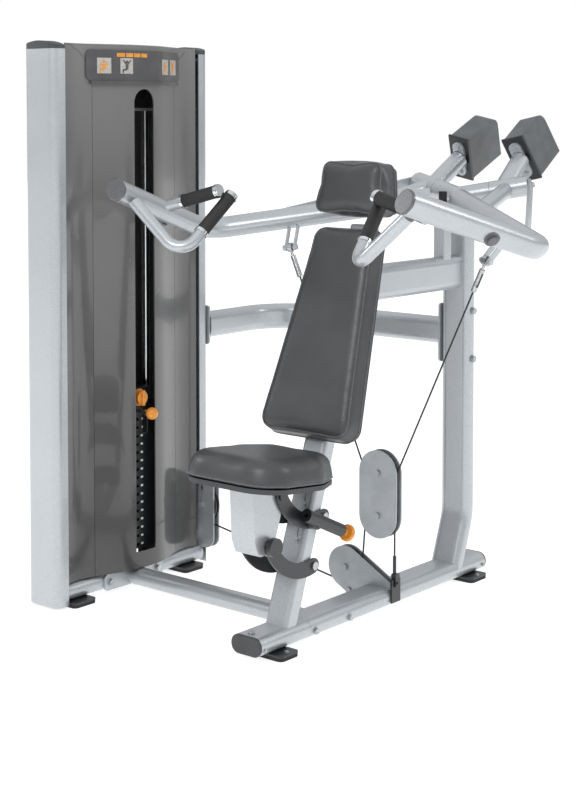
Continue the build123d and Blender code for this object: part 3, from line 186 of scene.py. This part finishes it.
def paint(slots, *names):
    """Give carried-over nodes one material."""
    for name in names:
        mesh = NODES[name].data
        mesh.materials.clear()
        for slot in slots:
            mesh.materials.append(slot)


paint([silver], "base_beam", "back_post", "cross_tube", "rear_upright", "upper_brace",
      "tower_brace", "pivot_housing", "seat_carriage", "tower_frame", "side_panels",
      "arm_tube_right", "arm_tube_left", "counter_lever_right", "counter_lever_left")


# Black pieces of the frame: moulded end caps and pad backs with a fine spark-eroded grain,
# and steel feet, pulley plates and seat links in a smoother black powder coat.
cap_plastic, tree, shader = material("moulded_polypropylene", IOR=1.49)
tree.links.new(ramp(tree, noise(tree, 60), "#3C3D3F", "#424345"), shader.inputs["Base Color"])
tree.links.new(between(tree, noise(tree, 2), 0.42, 0.62), shader.inputs["Roughness"])
bump(tree, shader, noise(tree, 1.2), 0.05, 0.6)

black_paint, tree, shader = material("black_powder_coat", Coat_Weight=0.3, Coat_Roughness=0.2)
tree.links.new(ramp(tree, noise(tree, 90), "#1D2022", "#222628"), shader.inputs["Base Color"])
tree.links.new(between(tree, noise(tree, 25), 0.3, 0.45), shader.inputs["Roughness"])
bump(tree, shader, noise(tree, 3), 0.04, 0.6)

foot_rubber, tree, shader = material("moulded_rubber", IOR=1.52)
tree.links.new(ramp(tree, noise(tree, 40), "#191919", "#202020"), shader.inputs["Base Color"])
tree.links.new(between(tree, noise(tree, 6), 0.6, 0.85), shader.inputs["Roughness"])
bump(tree, shader, noise(tree, 1.5), 0.06)
paint([cap_plastic], "beam_end_caps", "pad_boards", "seat_board", "panel_caps")
paint([black_paint], "foot_plates", "seat_link_lower", "seat_link_upper", "cable_anchor")
paint([foot_rubber], "foot_pads", "rubber_stops")


# Fasteners, pins and guide rods: zinc plated bolts with a soft scratched shine, and hard
# chrome on the rods and collars.
zinc, tree, shader = material("zinc_plated_steel", Metallic=1.0)
tree.links.new(ramp(tree, noise(tree, 4), "#9EA1A3", "#CBCDCE"), shader.inputs["Base Color"])
tree.links.new(between(tree, noise(tree, 2), 0.22, 0.42), shader.inputs["Roughness"])
bump(tree, shader, noise(tree, 1.5), 0.02, 0.5)

chrome, tree, shader = material("chromed_steel", Metallic=1.0)
tree.links.new(ramp(tree, noise(tree, 70), "#D5D8DA", "#E6E8E9"), shader.inputs["Base Color"])
tree.links.new(between(tree, noise(tree, 12), 0.06, 0.14), shader.inputs["Roughness"])
bump(tree, shader, noise(tree, 5), 0.01, 0.3)
paint([zinc], "frame_bolts", "post_hardware")
paint([chrome], "guide_rods")


def islands(node):
    """Groups of faces of a node that hang together, as lists of face numbers."""
    mesh = NODES[node].data
    joined = {}

    def root(key):
        while joined[key] != key:
            joined[key] = joined[joined[key]]
            key = joined[key]
        return key

    spots = [tuple(round(c, 5) for c in v.co) for v in mesh.vertices]
    for spot in spots:
        joined[spot] = spot
    for face in mesh.polygons:
        first = root(spots[face.vertices[0]])
        for corner in face.vertices[1:]:
            joined[root(spots[corner])] = first
    groups = {}
    for face in mesh.polygons:
        groups.setdefault(root(spots[face.vertices[0]]), []).append(face.index)
    return list(groups.values())


def reach(node, faces):
    """Length of the diagonal of a group of faces."""
    mesh = NODES[node].data
    points = [mesh.vertices[v].co for f in faces for v in mesh.polygons[f].vertices]
    return sum((max(p[i] for p in points) - min(p[i] for p in points)) ** 2 for i in range(3)) ** 0.5


# Pulleys and their plates: turned black nylon wheels that run between painted side plates.
nylon, tree, shader = material("turned_nylon", IOR=1.53)
tree.links.new(ramp(tree, noise(tree, 30), "#222223", "#2A2A2B"), shader.inputs["Base Color"])
tree.links.new(between(tree, noise(tree, 3), 0.35, 0.55), shader.inputs["Roughness"])
bump(tree, shader, noise(tree, 2), 0.03, 0.5)
grey_paint, tree, shader = material("grey_powder_coat", Metallic=0.5)
tree.links.new(ramp(tree, noise(tree, 50), "#A3A7AA", "#ADB1B4"), shader.inputs["Base Color"])
tree.links.new(between(tree, noise(tree, 8), 0.3, 0.45), shader.inputs["Roughness"])
bump(tree, shader, noise(tree, 3), 0.03, 0.5)
paint([nylon], "base_pulley", "tower_pulley", "rear_top_pulley", "centre_top_pulley",
      "floating_pulley_upper", "floating_pulley_lower")
paint([grey_paint], "pulley_brackets", "floating_bracket")

# Cables: steel strand in an extruded black nylon sheath. The swaged fork at the top of each
# arm strand is bright steel.
sheath, tree, shader = material("nylon_sheath", IOR=1.53)
tree.links.new(ramp(tree, noise(tree, 20), "#101011", "#1E1E1F"), shader.inputs["Base Color"])
tree.links.new(between(tree, noise(tree, 4), 0.25, 0.4), shader.inputs["Roughness"])
bump(tree, shader, noise(tree, 2), 0.03, 0.4)
paint([sheath], "drive_cable", "cable_risers", "stack_cable", "arm_cable_loop", "pin_lanyard")
paint([sheath, zinc], "arm_cable_right", "arm_cable_left")
FORK_LENGTH = 0.108
for name in ("arm_cable_right", "arm_cable_left"):
    swage_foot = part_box(name)[1].z - FORK_LENGTH
    for face in NODES[name].data.polygons:
        face.material_index = int(face.center.z > swage_foot)


def copied(name, node):
    """A free copy of a carried-over node, under a new name."""
    made = NODES[node].copy()
    made.data = NODES[node].data.copy()
    for key in list(made.keys()):
        del made[key]
    made.name = name
    made.data.name = name
    made.parent = None
    scene.collection.objects.link(made)
    return made


# The stack's own run of cable is a copy of its node that rides on the frame. It is the same
# sheathed strand as the rest.
stack_run = copied("stack_run", "stack_cable")
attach(stack_run, "frame")
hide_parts("stack_cable")
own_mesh(stack_run)

# Press arms: chrome collars with black ribbed rubber grips between them, and a dark plug
# in the open end of each tube.
grip_rubber, tree, shader = material("ribbed_grip_rubber", IOR=1.52)
tree.links.new(ramp(tree, noise(tree, 18), "#1C1C1C", "#242424"), shader.inputs["Base Color"])
tree.links.new(between(tree, noise(tree, 3), 0.5, 0.75), shader.inputs["Roughness"])
bump(tree, shader, noise(tree, 2), 0.15)
plug_plastic, tree, shader = material("satin_nylon_plug", IOR=1.53, Coat_Weight=0.3)
tree.links.new(ramp(tree, noise(tree, 30), "#58595B", "#5E5F61"), shader.inputs["Base Color"])
tree.links.new(between(tree, noise(tree, 3), 0.22, 0.34), shader.inputs["Roughness"])
bump(tree, shader, noise(tree, 1.5), 0.03, 0.4)
COLLAR = 0.016  # length of the chrome collar at each end of a grip
for side in ("right", "left"):
    grips = f"hand_grips_{side}"
    paint([grip_rubber, chrome], grips)
    faces = NODES[grips].data.polygons
    for group in islands(grips):
        centre = sum((faces[f].center for f in group), Vector()) / len(group)
        one_end = max((faces[f].center for f in group), key=lambda p: (p - centre).length)
        other_end = max((faces[f].center for f in group), key=lambda p: (p - one_end).length)
        along = (other_end - one_end).normalized()
        span = (other_end - one_end).length
        for f in group:
            share = (faces[f].center - one_end).dot(along)
            faces[f].material_index = int(min(share, span - share) < COLLAR)
    paint([plug_plastic], f"arm_cap_{side}")

# Counterweights: a solid iron block in grey paint, with a black rim on the face that the
# lever is bolted to. The rim is the solid with the shortest diagonal.
iron, tree, shader = material("painted_cast_iron", Metallic=0.2)
tree.links.new(ramp(tree, noise(tree, 45), "#5A5D5F", "#646769"), shader.inputs["Base Color"])
tree.links.new(between(tree, noise(tree, 6), 0.35, 0.55), shader.inputs["Roughness"])
bump(tree, shader, noise(tree, 3), 0.12, 0.7)
for side in ("right", "left"):
    weight = f"counterweight_{side}"
    paint([iron, black_paint], weight)
    groups = sorted(islands(weight), key=lambda g: reach(weight, g))
    for face in groups[0]:
        NODES[weight].data.polygons[face].material_index = 1

# Stack: black painted iron plates on two rods, each with a white tick beside the pin hole,
# and a head plate that carries an orange dial. The pin has a steel shank and orange knob.
plate_iron, tree, shader = material("black_stove_enamel", Coat_Weight=0.2)
tree.links.new(ramp(tree, noise(tree, 35), "#17181A", "#1E2022"), shader.inputs["Base Color"])
tree.links.new(between(tree, noise(tree, 5), 0.35, 0.6), shader.inputs["Roughness"])
bump(tree, shader, noise(tree, 2.5), 0.08, 0.7)
orange, tree, shader = material("orange_nylon", IOR=1.53, Coat_Weight=0.3)
tree.links.new(ramp(tree, noise(tree, 25), "#DE8A22", "#EE9C34"), shader.inputs["Base Color"])
tree.links.new(between(tree, noise(tree, 4), 0.28, 0.42), shader.inputs["Roughness"])
bump(tree, shader, noise(tree, 1.5), 0.04, 0.5)
paint([plate_iron], "weight_plates", "head_plate")
paint([orange], "increment_dial")
paint([zinc, orange], "selector_pin", "seat_pull_pin")
SELECTOR_KNOB = 0.036
PULL_KNOB = 0.05
knob_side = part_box("selector_pin")[1].x - SELECTOR_KNOB
for face in NODES["selector_pin"].data.polygons:
    face.material_index = int(face.center.x > knob_side)
knob_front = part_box("seat_pull_pin")[1].y - PULL_KNOB
for face in NODES["seat_pull_pin"].data.polygons:
    face.material_index = int(face.center.y > knob_front)


def piece(name, shape, body, slots):
    """Finish a bmesh as a named piece that rides on a body."""
    mesh = bpy.data.meshes.new(name)
    shape.to_mesh(mesh)
    shape.free()
    for one in slots:
        mesh.materials.append(one)
    made = bpy.data.objects.new(name, mesh)
    scene.collection.objects.link(made)
    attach(made, body)
    return made


white_ink, tree, shader = material("white_print", Roughness=0.5)
tree.links.new(ramp(tree, noise(tree, 8), "#DADAD8", "#F2F2F0"), shader.inputs["Base Color"])
plate_low, plate_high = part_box("weight_plates")
PLATES = 16
PLATE_PITCH = 0.0247
STACK_MIDDLE = 0.198
TICK_OFFSET = 0.017
TICK_HEIGHT = 0.006
PRINT_LIFT = 0.0003
ticks = bmesh.new()
for index in range(PLATES):
    level = plate_low.z + (index + 0.5) * PLATE_PITCH
    for side, width in ((-1, 0.005), (1, 0.009)):
        middle = Vector((plate_high.x + PRINT_LIFT, STACK_MIDDLE + side * TICK_OFFSET, level))
        corners = bmesh.ops.create_grid(ticks, x_segments=1, y_segments=1, size=0.5)["verts"]
        bmesh.ops.scale(ticks, vec=(TICK_HEIGHT, width, 1), verts=corners)
        bmesh.ops.rotate(ticks, matrix=Matrix.Rotation(math.pi / 2, 3, "Y"), verts=corners)
        bmesh.ops.translate(ticks, vec=middle, verts=corners)
piece("plate_ticks", ticks, "frame", [white_ink])

# Tower: bowed glossy dark covers between the two painted side panels. The sheet is smooth,
# and its colour is painted paler towards the top as painted light, for the lamps' reflections.
gloss, tree, shader = material("glossy_abs_sheet", IOR=1.54, Coat_Weight=0.6,
                               Coat_Roughness=0.06)
level = add(tree, "ShaderNodeSeparateXYZ",
            {0: add(tree, "ShaderNodeTexCoord").outputs["Object"]}).outputs["Z"]
painted_light_rise = add(tree, "ShaderNodeMapRange",
           {"Value": level, "From Min": 0.1, "From Max": 1.55}).outputs[0]
# Painted light: the base colour runs from dark at the bottom of the cover to pale at the top.
tree.links.new(ramp(tree, painted_light_rise, "#3A3938", "#747372", 0.0, 1.0), shader.inputs["Base Color"])
tree.links.new(between(tree, noise(tree, 90), 0.2, 0.3), shader.inputs["Roughness"])
bump(tree, shader, noise(tree, 60, 1.0), 0.15, 0.3)
paint([gloss], "centre_panel", "tower_cover", "back_cover")
placard_face, tree, shader = material("printed_polycarbonate", IOR=1.58, Coat_Weight=0.5)
tree.links.new(ramp(tree, noise(tree, 40), "#4A4A4B", "#505051"), shader.inputs["Base Color"])
tree.links.new(between(tree, noise(tree, 40), 0.2, 0.28), shader.inputs["Roughness"])
bump(tree, shader, noise(tree, 20), 0.02, 0.2)
paint([placard_face], "placard")

# Pictures printed on the instruction plate: four plain figures with blank heads on pale
# tiles, and an orange title bar with no lettering. The ink lies on the plate's own curve.
orange_ink, tree, shader = material("orange_print", Roughness=0.4)
tree.links.new(ramp(tree, noise(tree, 8), "#D98A2B", "#E39A3C"), shader.inputs["Base Color"])
pale_ink, tree, shader = material("pale_print", Roughness=0.4)
tree.links.new(ramp(tree, noise(tree, 8), "#A9A6A0", "#B8B5AF"), shader.inputs["Base Color"])
plate_face = BVHTree.FromObject(NODES["placard"], bpy.context.evaluated_depsgraph_get())


def printed(shape, outline, ink, lift):
    """Fan of ink from an outline of (y, z) points, laid on the plate."""
    verts = []
    for y, z in outline:
        hit = plate_face.ray_cast(Vector((0, y, z)), Vector((-1, 0, 0)))[0]
        verts.append(shape.verts.new((hit.x + lift if hit else 0, y, z)))
    shape.faces.new(verts).material_index = ink


def disc(y, z, radius):
    """Outline of a round spot."""
    return [(y + radius * math.cos(t), z + radius * math.sin(t))
            for t in (k * math.pi / 8 for k in range(16))]


def bar(y0, z0, y1, z1, width):
    """Outline of a straight stroke of that width."""
    along = Vector((y1 - y0, z1 - z0)).normalized() * width / 2
    side = (-along.y, along.x)
    return [(y0 + side[0], z0 + side[1]), (y0 - side[0], z0 - side[1]),
            (y1 - side[0], z1 - side[1]), (y1 + side[0], z1 + side[1])]


# The layout is in metres from the middle of the row of tiles. Each tile is laid in narrow
# strips so that it follows the curve. The second figure is drawn in the plate's own colour.
PALE, ORANGE, DARK = 0, 1, 2
TILE_HEIGHT = 0.044
STRIP = 0.004
TILE_INK, TITLE_INK, FIGURE_INK = 0.0006, 0.0008, 0.0012
ink = bmesh.new()
TILE_ROW = 0.052
middle_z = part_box("placard")[0].z + TILE_ROW
title_z = middle_z + 0.031
for step in range(4):
    start_y = 0.098 + step * 0.027
    printed(ink, bar(start_y, title_z, start_y + 0.024, title_z, 0.011), ORANGE, TITLE_INK)
for number, y in enumerate((0.062, 0.128, 0.292, 0.345)):
    for strip in range(10):
        left = y - 0.02 + strip * STRIP
        printed(ink, bar(left, middle_z, left + STRIP, middle_z, TILE_HEIGHT), PALE, TILE_INK)
    tone = DARK if number == 1 else ORANGE
    raise_arm = 0.016 if number in (1, 3) else 0.004
    trunk = (0, 0.004, 0, -0.01, 0.009)
    far_arm = (0, 0.002, -0.012, raise_arm, 0.004)
    near_arm = (0, 0.002, 0.012, raise_arm, 0.004)
    thigh = (0, -0.01, -0.013, -0.012, 0.005)
    shin = (-0.012, -0.01, -0.012, -0.02, 0.004)
    for y0, z0, y1, z1, width in (trunk, far_arm, near_arm, thigh, shin):
        stroke = bar(y + y0, middle_z + z0, y + y1, middle_z + z1, width)
        printed(ink, stroke, tone, FIGURE_INK)
    printed(ink, disc(y, middle_z + 0.011, 0.0045), tone, FIGURE_INK)
piece("placard_print", ink, "frame", [pale_ink, orange_ink, placard_face])


# Upholstery: foam on a board under a grained, coated fabric that is pulled tight and sewn
# with a welt along its edges. The foam crowns the face between the seams.
vinyl, tree, shader = material("coated_fabric", IOR=1.5, Coat_Weight=0.25, Coat_Roughness=0.3)
place = add(tree, "ShaderNodeTexCoord").outputs["Object"]
grain = add(tree, "ShaderNodeTexVoronoi", {"Vector": place, "Scale": 1000 / 2.2}).outputs["Distance"]
tree.links.new(ramp(tree, noise(tree, 120), "#3B3D3E", "#424446"), shader.inputs["Base Color"])
tree.links.new(between(tree, grain, 0.34, 0.5), shader.inputs["Roughness"])
bump(tree, shader, grain, 0.25, 0.5)
welt, tree, shader = material("welt_cord", Sheen_Weight=0.2)
tree.links.new(ramp(tree, noise(tree, 6), "#4A4C4E", "#585A5C"), shader.inputs["Base Color"])
tree.links.new(between(tree, noise(tree, 2), 0.45, 0.6), shader.inputs["Roughness"])
bump(tree, shader, noise(tree, 1.2), 0.1)


VOXEL = 0.006  # spacing of the cover's mesh
CLOTH_FRAMES = 20
HELD = 0.006  # depth of the cover that stays stapled to the board
EASE = 0.02  # depth over which the rest comes free


def stuffed(name, node, body, out, cap, rounds):
    """Blow up a copy of a pad's solid as tight fabric; the back face stays on its board."""
    made = copied(name, node)
    made.data.materials.clear()
    made.data.materials.append(vinyl)
    weld = bmesh.new()
    weld.from_mesh(made.data)
    bmesh.ops.remove_doubles(weld, verts=weld.verts, dist=0.00005)
    weld.to_mesh(made.data)
    weld.free()
    bpy.context.view_layer.objects.active = made
    remesh = made.modifiers.new("remesh", "REMESH")
    remesh.mode = "VOXEL"
    remesh.voxel_size = VOXEL
    bpy.ops.object.select_all(action="DESELECT")
    made.select_set(True)
    bpy.ops.object.modifier_apply(modifier="remesh")
    start = [v.co.copy() for v in made.data.vertices]
    heights = [point.dot(out) for point in start]
    back = min(heights)
    cloth = made.modifiers.new("cloth", "CLOTH")
    cloth.settings.use_pressure = True
    cloth.settings.uniform_pressure_force = 4
    cloth.settings.effector_weights.gravity = 0
    cloth.settings.quality = 5
    cloth.point_cache.frame_end = CLOTH_FRAMES
    for number in range(1, CLOTH_FRAMES + 1):
        scene.frame_set(number)
    graph = bpy.context.evaluated_depsgraph_get()
    blown = bpy.data.meshes.new_from_object(made.evaluated_get(graph))
    moved = [v.co.copy() for v in blown.vertices]
    made.modifiers.remove(cloth)
    bpy.data.meshes.remove(blown)
    for vertex, old, new, level in zip(made.data.vertices, start, moved, heights):
        step = new - old
        step *= min(1, cap / max(step.length, 1e-9))
        free = min(1, max(0, (level - back - HELD) / EASE))
        vertex.co = old + step * free
    for face in made.data.polygons:
        face.use_smooth = True
    smooth = made.modifiers.new("smooth", "SMOOTH")
    smooth.factor = 0.5
    smooth.iterations = rounds
    bpy.ops.object.modifier_apply(modifier="smooth")
    finer = made.modifiers.new("finer", "SUBSURF")
    finer.levels = 1
    finer.render_levels = 1
    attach(made, body)
    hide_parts(node)
    return made


WELT_RADIUS = 0.0022
WELT_LIFT = 0.0006


def welt_round(name, pad, body, out, share):
    """Piping sewn round a pad at a share of its thickness, laid on the pad's own surface."""
    surface = BVHTree.FromObject(pad, bpy.context.evaluated_depsgraph_get())
    heights = [v.co.dot(out) for v in pad.data.vertices]
    level = min(heights) + share * (max(heights) - min(heights))
    middle = sum((v.co for v in pad.data.vertices), Vector()) / len(pad.data.vertices)
    middle += out * (level - middle.dot(out))
    across = Vector((1, 0, 0))
    along = out.cross(across).normalized()
    line = []
    steps = 200
    for step in range(steps):
        turn = 2 * math.pi * step / steps
        way = across * math.cos(turn) + along * math.sin(turn)
        hit = surface.ray_cast(middle + way, -way)[0]
        if hit is not None:
            line.append(hit + way * WELT_LIFT)
    shape = bmesh.new()
    rings = []
    for index, point in enumerate(line):
        ahead = (line[(index + 1) % len(line)] - line[index - 1]).normalized()
        side = ahead.cross(out).normalized()
        rings.append([shape.verts.new(point + side * WELT_RADIUS * math.cos(t)
                                      + out * WELT_RADIUS * math.sin(t))
                      for t in (k * math.pi / 4 for k in range(8))])
    for index, ring in enumerate(rings):
        other = rings[(index + 1) % len(rings)]
        for k in range(8):
            shape.faces.new((ring[k], ring[(k + 1) % 8], other[(k + 1) % 8], other[k])).smooth = True
    bmesh.ops.recalc_face_normals(shape, faces=shape.faces)
    return piece(name, shape, body, [welt])


BACK_LEAN, HEAD_LEAN, SEAT_LEAN = math.radians(19.5), math.radians(8.5), math.radians(6)
BACK_OUT = (0, -math.cos(BACK_LEAN), math.sin(BACK_LEAN))
HEAD_OUT = (0, -math.cos(HEAD_LEAN), math.sin(HEAD_LEAN))
SEAT_OUT = (0, math.sin(SEAT_LEAN), math.cos(SEAT_LEAN))
PADS = (("backrest_cover", "backrest_pad", "frame", BACK_OUT),
        ("headrest_cover", "headrest_pad", "frame", HEAD_OUT),
        ("seat_cover", "seat_cushion", "seat", SEAT_OUT))
for name, node, body, out in PADS:
    out = Vector(out)
    seat = node == "seat_cushion"
    pad = stuffed(name, node, body, out, 0.012 if seat else 0.006, 45 if seat else 10)
    if not seat:
        welt_round(name + "_front_welt", pad, body, out, 0.8)
    welt_round(name + "_back_welt", pad, body, out, 0.12)
